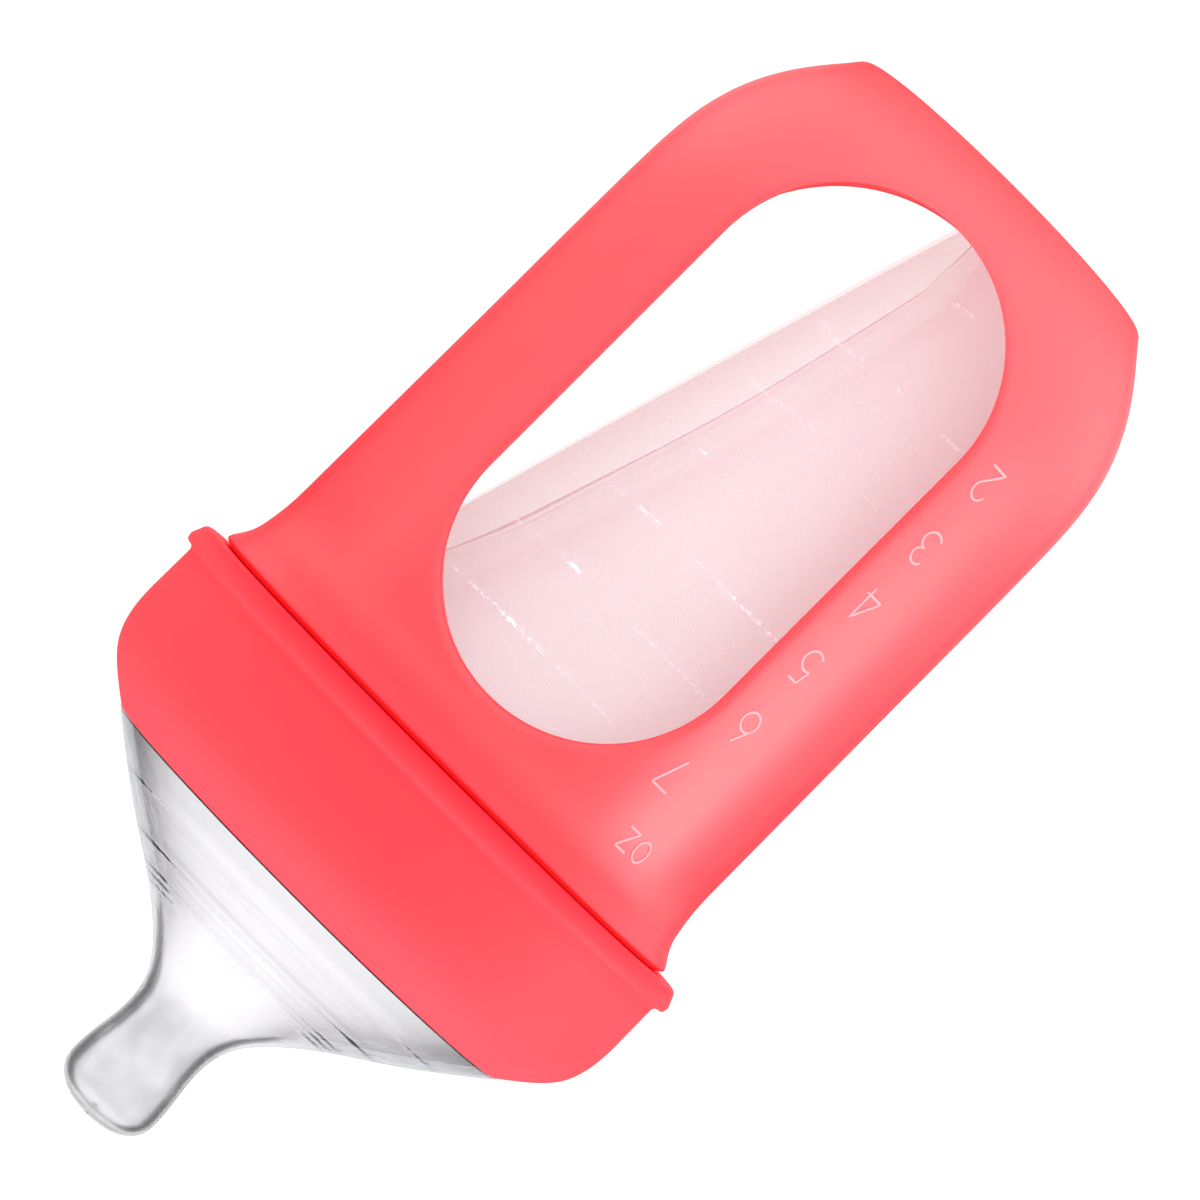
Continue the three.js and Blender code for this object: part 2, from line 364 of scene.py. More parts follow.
def bottle_shell(material):
    """The shell: walls patched round the two windows, a threaded neck above and a flat base below."""
    outer, inner = shell_outlines()
    builder = Builder()
    for window in (FRONT, REAR):
        wall_patch(builder, window, outer, window.round_out)
        wall_patch(builder, window, inner, window.round_in)
        window_rim(builder, window, outer, inner)
    flare = spline(FLARE, 40)
    flare = np.vstack([[outer[-1]], flare[flare[:, 1] > PATCH_TOP_Z + 0.05]])
    lip = filleted([
        (*flare[-1], 0), (LIP_R + 0.3, 96.0, 0.32), (36.6, SHOULDER_Z, 0.3), (NECK_R, SHOULDER_Z, 0.35),
        (NECK_R, NECK_TOP, 0.6), (BORE_R, NECK_TOP, 0.6), (BORE_R, 95.5, 3), (*inner[-1], 0),
    ])
    top = turned(divided(np.vstack([flare[:-1], lip]), 0.22))
    height = thread_height(top, THREAD_START, 0)
    on_neck = (np.linalg.norm(top[..., :2], axis=-1) > NECK_R - 0.2) & (top[..., 2] > SHOULDER_Z + 0.5)
    builder.grid(builder.add(push_out(top, NECK_BEAD * height * on_neck)), close_columns=True)
    corner = filleted([(*outer[0], 0), (23.55, 0, 1.7), (2, 0, 0)], steps=10)
    floor = filleted([(*inner[0], 0), (22.5, WALL, 1.0), (2, WALL, 0)], steps=6)
    for ring in (corner, floor):
        index = builder.add(turned(divided(ring, 2.5)))
        builder.grid(index, close_columns=True)
        builder.cap(index[-1], (0, 0, ring[-1, 1]))
    return builder.object("bottle_shell_visual", material)


# Collar.


def threaded_collar(material):
    """The domed collar, with a flange round its foot and a thread in its bore."""
    dome = spline([(39.8, 104.5), (39.8, 108.0), (39.42, 111.1), (38.3, 114.0), (35.65, 116.95),
                   (MOUTH_R + 0.35, MOUTH_Z - 0.25)], 60)
    skirt = filleted([
        (COLLAR_BORE_R, SKIRT_Z + 1, 0), (COLLAR_BORE_R, SKIRT_Z, 0.25), (FLANGE_R - 0.95, SKIRT_Z, 0.8),
        (FLANGE_R - 0.1, 98.7, 0.6), (FLANGE_R - 0.25, 99.6, 0.35), (39.75, 99.7, 0.8), (39.8, 104.5, 0),
    ])
    inside = filleted([
        (*dome[-1], 0), (MOUTH_R, MOUTH_Z - 0.35, 0.15), (MOUTH_R, 117.5, 1.0), (33.4, COLLAR_SEAT_Z, 0.4),
        (COLLAR_BORE_R, COLLAR_SEAT_Z, 0.3), (COLLAR_BORE_R, SKIRT_Z + 1, 0),
    ])
    outline = np.vstack([skirt[:-1], dome[:-1], inside[:-1]])
    points = turned(divided(np.vstack([outline, outline[:1]]), 0.25)[:-1])
    height = thread_height(points, THREAD_START + LEAD / 2, -0.25)
    r = np.linalg.norm(points[..., :2], axis=-1)
    in_bore = (np.abs(r - COLLAR_BORE_R) < 0.05) & (points[..., 2] < COLLAR_SEAT_Z - 2)
    points = push_out(points, -COLLAR_BEAD * height * in_bore)
    builder = Builder()
    builder.grid(builder.add(points), close_rows=True, close_columns=True)
    return builder.object("threaded_collar_visual", material)


# Nipple.

GROOVE_SHADES = [  # (height, half width, depth of painted shade) of the fine rings moulded round the cone, drawn only as painted grey shade
    (127.1, 0.35, 1.0), (128.15, 0.35, 0.7), (129.2, 0.2, 0.75), (129.8, 0.2, 0.65), (130.45, 0.4, 0.6),
]
WALL_STEPS = [  # (height, rise) of the small steps in the wall
    (124.1, 0.03), (128.5, 0.04), (130.8, 0.035), (131.5, 0.035), (132.2, 0.035),
]
STEP_HALF_HEIGHT = 0.25
HOLE_R = 0.2


def nipple_wall(z):
    """Wall thickness up the nipple: stout at the cone, thinner in the teat, with small steps between."""
    wall = 1.3 - 0.5 * smoothstep(133, 147, z)
    for step, rise in WALL_STEPS:
        wall = wall + rise * smoothstep(step - STEP_HALF_HEIGHT, step + STEP_HALF_HEIGHT, z)
    return wall


def nipple(material):
    """The hollow nipple: clamping flange, wide cone, waist and teat with a hole in its tip."""
    outside = spline([
        (32.4, 119.7), (28.4, 122.9), (24.5, 125.85), (20.35, 128.75), (16.0, 131.65),
        (12.15, 134.6), (9.0, 137.6), (7.0, 140.5), (6.2, 143.7), (6.25, 146.8), (6.62, 149.6),
        (6.88, 152.3), (6.62, 154.9), (5.3, 156.6), (3.2, 157.6), (HOLE_R, TIP_Z),
    ], 400)
    inside = offset(outside, nipple_wall(outside[:, 1]))
    inside = inside[inside[:, 0] > HOLE_R + 0.4]
    tip_in = inside[-1, 1] + 0.03
    tip = [(HOLE_R, TIP_Z - 0.4), (HOLE_R, tip_in + 0.3), (HOLE_R + 0.1, tip_in)]
    flange = filleted([
        (30.1, 117.6, 0), (29.2, 113.0, 2.0), (28.8, NIPPLE_Z, 0.4), (35.0, NIPPLE_Z, 0.4),
        (35.0, 111.9, 0.4), (33.05, 112.0, 0.5), (31.65, 117.0, 1.5), (31.7, 119.25, 0.4), (*outside[0], 0),
    ])
    outline = divided(np.vstack([flange[:-1], outside, tip, inside[::-1]]), 0.8)
    outer = np.zeros(len(outline))
    outer[:np.argmax(outline[:, 1])] = 1
    away = [(np.abs(outline[:, 1] - middle) / half, depth) for middle, half, depth in GROOVE_SHADES]
    groove = outer * sum(depth * smoothstep(1.3, 0.5, share) for share, depth in away)
    builder = Builder()
    index = builder.add(turned(outline), outer=outer[:, None], groove=groove[:, None])
    builder.grid(index, close_rows=True, close_columns=True)
    return builder.object("nipple_visual", material)


# Pouch.

POUCH_WALL = 0.8
POUCH_R = 31.0
POUCH_RIM_R = 33.8
POUCH_FLOOR = 2.6  # height of the lowest full ring above the pouch's underside
NARROWING = 0.291  # of the right side for each millimetre down
LEFT_NARROWING = 0.09
FOLD_TOP, FOLD_FULL = 96.0, 66.0  # heights where the folds begin and reach their depth
CREASE_LINE = [  # (height, distance right of the axis) down the crease behind the front window
    (14.7, -1.8), (28.3, 1.2), (38.0, 3.5), (48.3, 6.35), (57.6, 9.3), (75.4, 14.9), (96.0, 21.5),
]
CREASE_DEPTH = 0.13  # as a share of the pouch's half width
PINCH = 0.17  # depth of the narrow pinched line in the crease
PINCH_HALF_ANGLE = 0.009
FINE_ANGLE = 0.07  # on both sides of the crease the skin has closer columns
BACK_CREASE = math.radians(100)
LINE_HEIGHTS = (13.8, 26.4, 37.0, 47.7, 58.1, 68.9, 78.8)
LINE_PATCHES = [  # (height of the line, from x, to x, strength) of the patches that show in front; strength also sets the painted glint on the line, strongest where it catches the light
    (78.8, -12.0, -2.4, 0.25), (78.8, -1.0, 3.6, 0.5), (78.8, 3.6, 7.9, 1.0), (78.8, 8.0, 14.7, 0.5),
    (68.9, -19.0, -6.0, 0.25), (68.9, 3.2, 5.2, 1.0), (68.9, 5.8, 7.2, 0.5), (68.9, 9.0, 14.0, 0.5),
    (58.1, -19.0, -11.3, 0.6), (58.1, -11.3, -4.5, 0.2), (58.1, 0.3, 4.1, 0.5), (58.1, 5.8, 8.6, 0.4),
    (47.7, 2.0, 3.8, 0.6), (47.7, 4.4, 5.5, 0.3), (37.0, -5.0, 0.0, 0.2), (37.0, 0.0, 6.5, 0.45),
    (26.4, -19.0, -15.4, 0.4), (26.4, -8.5, -7.2, 0.4), (26.4, -2.7, 4.5, 0.6), (13.8, -8.5, -5.4, 0.5),
]
LINE_HALF_WIDTH = 0.3
LINE_HEIGHT = 0.12


def pouch_middle(z):
    """Half the pouch's width at a height and how far its middle is to one side."""
    right = POUCH_R - NARROWING * (NECK_TOP - z)
    left = -POUCH_R + LEFT_NARROWING * (NECK_TOP - z)
    return (right - left) / 2, (right + left) / 2


def front_crease(z):
    """Direction, from the pouch's middle, of the crease that shows through the front window."""
    half, middle = pouch_middle(z)
    line = np.array(CREASE_LINE)
    curve = spline(line[:, ::-1], 200)
    x = np.interp(z, curve[:, 1], curve[:, 0])
    return -np.arccos(np.clip((x - middle) / (half * (1 - CREASE_DEPTH)), -1, 1))


def within_half_turn(angle):
    return (angle + math.pi) % (2 * math.pi) - math.pi


def dip(past, before_width, after_width, sharp):
    """A valley, 1 deep at its line, with a width on each side, and either sharp or rounded at its bottom."""
    past = within_half_turn(past)
    width = np.where(past < 0, before_width, after_width)
    return np.exp(-((np.abs(past) / width) ** (0.85 if sharp else 1.6)))


def pouch_surface(angle, z, inwards, sharp):
    """Points of the pouch's outer skin, or of its inner skin a wall further in with rounded creases."""
    half, middle = pouch_middle(z)
    folded = CREASE_DEPTH * smoothstep(FOLD_TOP, FOLD_FULL, z)
    valley = dip(angle - front_crease(z), 0.13, 0.34, sharp) + dip(angle - BACK_CREASE, 0.4, 0.4, sharp)
    radius = half * (1 - folded * valley) - inwards
    return radius * np.cos(angle) + middle, radius * np.sin(angle)


def between(x, low, high):
    """1 between two angles, fading at both ends."""
    return smoothstep(low, low + 0.08, x) * smoothstep(high, high - 0.08, x)


def pinched(angle, z):
    """Depth of the narrow pinched line along the bottom of the front crease."""
    away = within_half_turn(angle - front_crease(z)) / PINCH_HALF_ANGLE
    return PINCH * np.exp(-(away**2)) * smoothstep(FOLD_TOP, FOLD_FULL, z)


def line_wear(angle, z):
    """How clearly a raised line shows and how bright its painted glint is: only in worn patches at the
    front, and faintly round the back.
    """
    x, y = pouch_surface(angle, z, 0.0, sharp=True)
    wear_and_glint = 0.12 * between(within_half_turn(angle), 0.6, 2.2)
    for line, start, end, strength in LINE_PATCHES:
        patch = smoothstep(start - 0.4, start + 0.4, x) * smoothstep(end + 0.4, end - 0.4, x)
        wear_and_glint = np.maximum(wear_and_glint, strength * patch * (y < 0) * (np.abs(z - line) < 2))
    return wear_and_glint


def sheerness(angle, z):
    """Painted light: 1 on the facet to the right of the front crease, painted as lit, and a soft band to its
    left, a painted highlight.
    """
    crease = front_crease(z)
    past = within_half_turn(angle - crease)
    facet = smoothstep(0.0, 0.02, past) * smoothstep(0.2, 0.0, past + 2 * crease)
    band = smoothstep(-0.42, -0.3, past) * smoothstep(-0.08, -0.18, past)
    return (facet + 0.9 * band) * smoothstep(FOLD_TOP, FOLD_FULL, z)


def line_slope(angle, z):
    """Height change of the raised lines round the folded pouch: up to the crease, then down past it."""
    past = np.degrees((angle - front_crease(z)) % (2 * math.pi))
    before = 360 - past
    rise = 0.9 * smoothstep(40, 0, before)
    fall = 0.9 - 4.2 * smoothstep(0, 60, past)
    back = smoothstep(130, 75, past)
    return np.where(past < 130, fall * back, rise)


def pouch_grid():
    """Angles and heights of the pouch's skin, closer together at the crease and at the raised lines."""
    heights_up = [np.linspace(POUCH_Z + POUCH_FLOOR, NECK_TOP, 90)]
    for line in LINE_HEIGHTS:
        heights_up.append(line + np.linspace(-1, 1, 9) * LINE_HALF_WIDTH * 1.6)
    z = np.unique(np.concatenate(heights_up).round(3))
    fine = np.linspace(-FINE_ANGLE, FINE_ANGLE, 29)
    coarse = np.linspace(FINE_ANGLE, 2 * math.pi - FINE_ANGLE, 260)[1:-1]
    return np.concatenate([fine, coarse]), z


def silicone_pouch(material):
    """The folded pouch: two skins with raised lines and a crease, and the rim that hangs on the neck."""
    columns, z = pouch_grid()
    angle, height = np.meshgrid(columns, z)
    angle = angle + front_crease(height)
    slope = line_slope(angle, height) * smoothstep(FOLD_TOP, FOLD_FULL - 4, height)
    level = height + slope * smoothstep(POUCH_Z + POUCH_FLOOR, POUCH_Z + 10, height)
    on_line = sum(np.exp(-(((height - line) / LINE_HALF_WIDTH) ** 4)) for line in LINE_HEIGHTS)
    # This share sets both how high the raised lines stand and how bright their painted glint glows.
    wear_and_glint = line_wear(angle, height)
    relief = LINE_HEIGHT * on_line * (0.25 + 0.75 * wear_and_glint) - pinched(angle, height)
    builder = Builder()
    for inwards, is_outer in ((0.0, 1), (POUCH_WALL, 0)):
        x, y = pouch_surface(angle, level, inwards - relief * is_outer, sharp=bool(is_outer))
        skin = np.stack([x, y, level], axis=-1)
        bottom = rounded_bottom(skin[0], POUCH_Z + inwards)
        # Painted light: one share makes the raised lines glow as painted glints, the other paints the facet
        # and band by the crease as lit.
        shares = {"frost": on_line * wear_and_glint * is_outer, "sheer": sheerness(angle, height)}
        for name, share in shares.items():
            shares[name] = np.vstack([np.tile(share[:1], (len(bottom), 1)), share])
        index = builder.add(np.concatenate([bottom, skin]), **shares)
        builder.grid(index, close_columns=True)
        builder.cap(index[0], tuple(bottom[0].mean(axis=0)))
    inner_r = POUCH_R - POUCH_WALL
    rim = filleted([
        (POUCH_R, NECK_TOP, 0), (POUCH_R, NECK_TOP + 0.3, 0.1), (POUCH_RIM_R, NECK_TOP + 0.3, 0.5),
        (POUCH_RIM_R, RIM_TOP, 0.5), (inner_r, RIM_TOP, 0.5), (inner_r, NECK_TOP, 0),
    ])
    at = columns + float(front_crease(np.array(NECK_TOP)))
    builder.grid(builder.add(turned(rim, at)), close_columns=True)
    return builder.object("silicone_pouch_visual", material)


def rounded_bottom(ring, floor):
    """Rings that close the pouch below its lowest full ring, rounding in to a flat floor."""
    centre = ring.mean(axis=0)
    height = centre[2] - floor
    rows = []
    for t in np.linspace(0, math.pi / 2, 10, endpoint=False):
        share = 0.8 + 0.2 * math.sin(t)
        row = centre + (ring - centre) * share
        row[:, 2] = floor + (ring[:, 2] - floor) * (1 - math.cos(t))
        rows.append(row)
    return np.array(rows)


# Volume scale.

STROKE = 0.36
RAISED = 0.10
DIGIT = (3.0, 4.6)  # width and height
UNIT = (2.3, 2.9)  # width and height of each letter of the unit
LETTER_GAP = 0.75
SCALE_R = 34.7  # of the wall where the marks are
SCALE_ANGLE = -133.2  # direction of the marks from +X, in degrees
SCALE_HEIGHTS = (27.6, 38.0, 47.8, 57.85, 68.2, 78.0)  # of the middles of the marks 2 to 7
ASIDE = {"7": 5.0, "oz": -1.1}  # degrees that a mark stands to one side of the others
UNIT_HEIGHT = 87.3


def arc(cx, cy, rx, ry, start, end, steps=16):
    a = np.radians(np.linspace(start, end, steps))
    return np.stack([cx + rx * np.cos(a), cy + ry * np.sin(a)], axis=1)


GLYPHS = {  # strokes of each character, in a box one wide and one high
    "2": [np.vstack([arc(0.5, 0.72, 0.42, 0.28, 165, -35), [(0.02, 0.0), (0.98, 0.0)]])],
    "3": [arc(0.42, 0.76, 0.40, 0.24, 150, -80), arc(0.42, 0.27, 0.48, 0.27, 85, -150)],
    "4": [np.array([(0.98, 0.22), (0.0, 0.22), (0.76, 1.0), (0.76, 0.0)])],
    "5": [np.vstack([[(0.88, 1.0), (0.30, 1.0), (0.14, 0.56)], arc(0.42, 0.31, 0.50, 0.31, 125, -140)])],
    "6": [arc(0.5, 0.30, 0.46, 0.30, 0, 360, 28), spline([(0.62, 1.0), (0.28, 0.62), (0.06, 0.36)], 10)],
    "7": [np.array([(0.05, 1.0), (0.98, 1.0), (0.30, 0.0)])],
    "o": [arc(0.5, 0.5, 0.5, 0.5, 0, 360, 28)],
    "z": [np.array([(0.05, 1.0), (0.95, 1.0), (0.05, 0.0), (0.98, 0.0)])],
}


def ribbon(builder, line, wall_r):
    """A low rounded ribbon on the shell along a line of (distance round, height) points."""
    line = divided(line, 0.35)
    closed = np.linalg.norm(line[0] - line[-1]) < 1e-6
    if closed:
        line = line[:-1]
        along = np.roll(line, -1, axis=0) - np.roll(line, 1, axis=0)
    else:
        along = np.gradient(line, axis=0)
    along /= np.linalg.norm(along, axis=1)[:, None]
    side = np.stack([-along[:, 1], along[:, 0]], axis=1)
    half_section = [(-0.5, -0.12), (-0.46, 0.55 * RAISED), (-0.3, RAISED)]
    rows = []
    for across, out in half_section + [(-across, out) for across, out in reversed(half_section)]:
        place = line + side * across * STROKE
        r = wall_r(place[:, 1]) + out
        angle = place[:, 0] / SCALE_R
        rows.append(np.stack([r * np.cos(angle), r * np.sin(angle), place[:, 1]], axis=-1))
    index = builder.add(np.array(rows).transpose(1, 0, 2))
    builder.grid(index, close_rows=closed, close_columns=True)
    if not closed:
        for end in (index[0], index[-1]):
            builder.faces.append([int(i) for i in end])


def volume_scale(material):
    """The numbers 2 to 7 up the shell beside the window, with the unit above them."""
    outer, _ = shell_outlines()

    def wall_r(z):
        return np.interp(z, outer[:, 1], outer[:, 0])

    made = []
    marks = [(str(number), z, DIGIT) for number, z in enumerate(SCALE_HEIGHTS, 2)]
    for text, z, (width, height) in marks + [("oz", UNIT_HEIGHT, UNIT)]:
        builder = Builder()
        step = width + LETTER_GAP
        middle = math.radians(SCALE_ANGLE + ASIDE.get(text, 0)) * SCALE_R
        start = middle - (step * len(text) - LETTER_GAP) / 2
        for k, character in enumerate(text):
            for stroke in GLYPHS[character]:
                line = stroke * (width, height) + (start + k * step, z - height / 2)
                ribbon(builder, line, wall_r)
        made.append(builder.object("scale_mark_" + text, material))
    return made


# Materials.


class Graph:
    """A node tree, with a method for each kind of node used here. A value is a number or a node's output."""

    def __init__(self, tree):
        self.tree = tree

    def new(self, kind, **settings):
        node = self.tree.nodes.new(kind)
        for name, setting in settings.items():
            setattr(node, name, setting)
        return node

    def put(self, socket, value):
        """Joins an output to a socket, or sets the socket to a number, a vector or a colour."""
        if isinstance(value, bpy.types.NodeSocket):
            self.tree.links.new(value, socket)
        else:
            socket.default_value = value

    def fill(self, node, values):
        """Sets or joins several inputs of a node by name."""
        for name, value in values.items():
            self.put(node.inputs[name], value)

    def noise(self, scale, detail):
        """Noise in the frame's own space; scale is in features per metre."""
        node = self.new("ShaderNodeTexNoise")
        place = self.new("ShaderNodeTexCoord").outputs["Object"]
        self.fill(node, {"Vector": place, "Scale": scale, "Detail": detail})
        return node.outputs["Fac"]

    def ranged(self, value, low, high):
        """Maps a 0 to 1 value on to low to high."""
        node = self.new("ShaderNodeMapRange")
        self.fill(node, {"Value": value, "To Min": low, "To Max": high})
        return node.outputs["Result"]

    def faded(self, value, low, high):
        """0 at one value and 1 at another, fading smoothly between."""
        node = self.new("ShaderNodeMapRange", interpolation_type="SMOOTHSTEP")
        self.fill(node, {"Value": value, "From Min": low, "From Max": high})
        return node.outputs["Result"]

    def axes(self, vector):
        node = self.new("ShaderNodeSeparateXYZ")
        self.fill(node, {"Vector": vector})
        return [node.outputs[axis] for axis in "XYZ"]

    def height_share(self, low, high):
        """0 at one height in metres and 1 at another, fading between."""
        place = self.new("ShaderNodeTexCoord").outputs["Object"]
        return self.faded(self.axes(place)[2], low, high)

    def grazing(self, low, high):
        """0 where the surface faces the ray and 1 where it is nearly edge-on."""
        return self.faded(self.new("ShaderNodeLayerWeight").outputs["Facing"], low, high)

    def ray(self, kind):
        return self.new("ShaderNodeLightPath").outputs["Is " + kind + " Ray"]

    def attribute(self, name):
        """A share that the mesh carries at its points."""
        return self.new("ShaderNodeAttribute", attribute_name=name).outputs["Fac"]

    def maths(self, operation, first, second=0.0):
        node = self.new("ShaderNodeMath", operation=operation)
        self.put(node.inputs[0], first)
        self.put(node.inputs[1], second)
        return node.outputs["Value"]

    def product(self, first, *others):
        for other in others:
            first = self.maths("MULTIPLY", first, other)
        return first

    def chosen(self, which, first, second):
        """The first value where which is 0 and the second where it is 1."""
        node = self.new("ShaderNodeMix")
        self.fill(node, {"Factor": which, "A": first, "B": second})
        return node.outputs["Result"]

    def mixed_colour(self, share, first, second):
        node = self.new("ShaderNodeMix", data_type="RGBA")
        first, second = [(*c, 1) if isinstance(c, tuple) else c for c in (first, second)]
        self.fill(node, {"Factor": share, "A": first, "B": second})
        return node.outputs["Result"]

    def mixed_shader(self, share, first, second):
        node = self.new("ShaderNodeMixShader")
        for socket, value in zip(node.inputs, (share, first, second)):
            self.put(socket, value)
        return node.outputs["Shader"]

    def bump(self, shader, height, distance, strength):
        node = self.new("ShaderNodeBump")
        self.fill(node, {"Height": height, "Distance": distance, "Strength": strength})
        self.fill(shader, {"Normal": node.outputs["Normal"]})

    def output(self, **sockets):
        self.fill(self.tree.nodes["Material Output"], sockets)


def new_material(name):
    """A material, with its graph and its Principled shader."""
    material = bpy.data.materials.new(name)
    material.use_nodes = True
    return material, Graph(material.node_tree), material.node_tree.nodes["Principled BSDF"]


def coral_plastic(name, roughness, shine, low_shading_colour, low_shading_heights, shade_heights=None):
    """Moulded plastic with a faint mottle and a fine texture, and a colour low down painted paler for floor
    light on the shell and deeper for shade on the collar.

    Shine is a pair: facing the ray and edge-on. Painted shade makes the plastic's shine weaker above the
    shade heights, if given.
    """
    material, graph, shader = new_material(name)
    colour = graph.mixed_colour(graph.noise(60, 3), (0.91, 0.031, 0.042), (0.94, 0.038, 0.050))
    # Painted light and shade low down: the shell's paler base stands for floor light, the collar's deeper
    # foot for shade.
    colour = graph.mixed_colour(graph.height_share(*low_shading_heights), low_shading_colour, colour)
    grain = graph.noise(2600, 3)
    polish_and_shade = graph.ranged(graph.grazing(0.45, 0.8), *shine)
    # Painted shade: above the shade heights the shine is cut, as under the collar's flange.
    if shade_heights:
        polish_and_shade = graph.product(polish_and_shade, graph.ranged(graph.height_share(*shade_heights), 1.0, 0.35))
    graph.fill(shader, {
        "Base Color": colour, "Roughness": graph.ranged(grain, *roughness), "Specular IOR Level": polish_and_shade,
        "Subsurface Weight": 0.08, "Subsurface Radius": (0.004, 0.001, 0.001), "Subsurface Scale": 1.0,
    })
    graph.bump(shader, grain, 0.00002, 0.35)
    return material


def satin_coral():
    """The shell's plastic: satin, painted paler at the base as floor light and with painted shade dulling
    its shine under the collar.
    """
    return coral_plastic(
        "satin_coral", roughness=(0.32, 0.42), shine=(0.5, 0.02), low_shading_colour=(0.95, 0.085, 0.098),
        low_shading_heights=(-0.005, 0.036), shade_heights=(0.0895, 0.0935),
    )


def matt_coral():
    """The collar's plastic: matt, with painted shade making it deeper round its foot."""
    return coral_plastic(
        "matt_coral", roughness=(0.55, 0.65), shine=(0.12, 0.08), low_shading_colour=(0.88, 0.012, 0.025),
        low_shading_heights=(0.0965, 0.0995),
    )


def scale_ink():
    """The pale raised marks of the volume scale."""
    material, graph, shader = new_material("scale_mark_pink")
    grain = graph.noise(1800, 3)
    graph.fill(shader, {
        "Base Color": graph.mixed_colour(grain, (0.95, 0.17, 0.19), (0.98, 0.26, 0.29)),
        "Roughness": graph.ranged(grain, 0.4, 0.55),
    })
    return material


TEAT_HEIGHTS = (0.137, 0.143)  # between which the clear cone turns into the frosted teat
SKIRT_HEIGHTS = (0.1222, 0.1216)  # between which the cone turns into its greyer lowest part
EDGE_CLEARNESS = 0.7  # how much of the nipple's outermost edge the backdrop shows straight through


def clear_silicone():
    """Clear silicone, faintly wavy, with painted grey shade along its grooves, greyer in its lowest part,
    with a cloudy frosted teat.
    """
    material, graph, shader = new_material("clear_silicone")
    teat = graph.height_share(*TEAT_HEIGHTS)
    cloud = graph.faded(graph.noise(230, 1), 0.35, 0.65)
    tone = graph.product(
        graph.chosen(teat, 1.0, graph.ranged(cloud, 0.79, 0.89)),
        graph.ranged(graph.height_share(*SKIRT_HEIGHTS), 1.0, 0.9),
        # Painted shade: the tone is greyer along the fine rings of the cone.
        graph.ranged(graph.attribute("groove"), 1.0, 0.82),
    )
    wave = graph.noise(260, 2)
    graph.fill(shader, {
        "Transmission Weight": 1.0, "IOR": 1.41,
        "Base Color": graph.mixed_colour(tone, (0.0, 0.0, 0.0), (0.967, 0.967, 0.982)),
        "Roughness": graph.maths("ADD", graph.product(teat, 0.08), graph.ranged(wave, 0.02, 0.08)),
    })
    graph.bump(shader, wave, 0.0002, 0.15)
    absorb = graph.new("ShaderNodeVolumeAbsorption")
    graph.fill(absorb, {"Color": (0.79, 0.80, 0.86, 1), "Density": 60.0})
    edge = graph.product(graph.grazing(0.5, 0.95), graph.attribute("outer"), EDGE_CLEARNESS)
    clear = graph.new("ShaderNodeBsdfTransparent").outputs["BSDF"]
    surface = graph.mixed_shader(edge, shader.outputs["BSDF"], clear)
    graph.output(Surface=surface, Volume=absorb.outputs["Volume"])
    return material


def milky_silicone():
    """Thin milky silicone with painted light: it glows evenly, its raised lines are frosted with painted
    glints, and the facet and band by the crease are painted as lit.
    """
    material, graph, shader = new_material("milky_silicone")
    sheer = graph.attribute("sheer")
    # Painted glints: the raised lines glow white in specks and are less clear.
    speckle = graph.faded(graph.noise(1500, 2), 0.35, 0.6)
    frost = graph.product(graph.attribute("frost"), speckle)
    colour = graph.mixed_colour(graph.noise(120, 4), (0.65, 0.67, 0.69), (0.71, 0.73, 0.75))
    # Painted light: the emission gives the whole pouch an even glow and its raised lines bright glints.
    graph.fill(shader, {
        "Base Color": colour, "Roughness": 0.3,
        "Emission Color": (1.0, 0.88, 0.89, 1), "Emission Strength": graph.ranged(frost, 0.25, 1.7),
    })
    graph.bump(shader, graph.noise(900, 3), 0.00004, 0.2)
    glow = graph.new("ShaderNodeBsdfTranslucent")
    graph.fill(glow, {"Color": colour})
    skin = graph.mixed_shader(0.5, shader.outputs["BSDF"], glow.outputs["BSDF"])
    clear = graph.new("ShaderNodeBsdfTransparent")
    # Painted light: the facet right of the crease and the band left of it are whiter and clearer, as if lit.
    graph.fill(clear, {"Color": graph.mixed_colour(sheer, (0.99, 0.93, 0.937), (0.995, 0.975, 0.978))})
    clearness = graph.chosen(sheer, graph.ranged(graph.grazing(0.3, 1.0), 0.74, 0.77), 0.82)
    clearness = graph.product(clearness, graph.ranged(frost, 1.0, 0.45))
    graph.output(Surface=graph.mixed_shader(clearness, skin, clear.outputs["BSDF"]))
    return material


# Stage.

WHITE = 1.2  # brightness of everything behind the bottle, to the camera
FLOOR_LEVEL = 0.85  # brightness of the floor as the pieces are lit by it
FLOOR_GLOSSY = (0.2, 0.05)  # the same in reflections, near the bottle and away from it
FLOOR_GLOSSY_STEEP = 0.7  # and in reflections that look nearly straight down
GLOSSY_LEVELS = [  # (Y of the direction, brightness) of the world in reflections
    (-1.0, 0.35), (-0.4, 0.3), (0.1, 0.2), (0.5, 0.1), (1.0, 0.08),
]
OVERHEAD = 0.7  # added in reflections from straight above
DIFFUSE_LEVEL = 1.0  # of the tent at the horizon
DIFFUSE_RISE = 0.35  # added to it overhead
BACKDROP_EDGE = (0.925, 0.972)  # cosine of the angle round from +Y at which the backdrop fades in
BACKDROP_LEVELS = (0.2, 1.22)
BACKDROP_OVER = 0.55  # above and below it


def through_glass(graph):
    """1 for light that has come straight through clear silicone, and 0 for any other."""
    return graph.product(graph.ray("Transmission"), graph.maths("SUBTRACT", 1.0, graph.ray("Diffuse")))


def backdrop_level(graph, direction, sign):
    """Brightness of the upright backdrop behind the bottle, as clear silicone sees it, in a direction."""
    x, y, z = graph.axes(direction)
    level_length = graph.maths("SQRT", graph.maths("ADD", graph.product(x, x), graph.product(y, y)))
    behind = graph.maths("DIVIDE", graph.product(y, sign), level_length)
    backdrop = graph.ranged(graph.faded(behind, *BACKDROP_EDGE), *BACKDROP_LEVELS)
    steep = graph.faded(graph.maths("ABSOLUTE", z), 0.5, 0.85)
    return graph.chosen(steep, backdrop, BACKDROP_OVER)


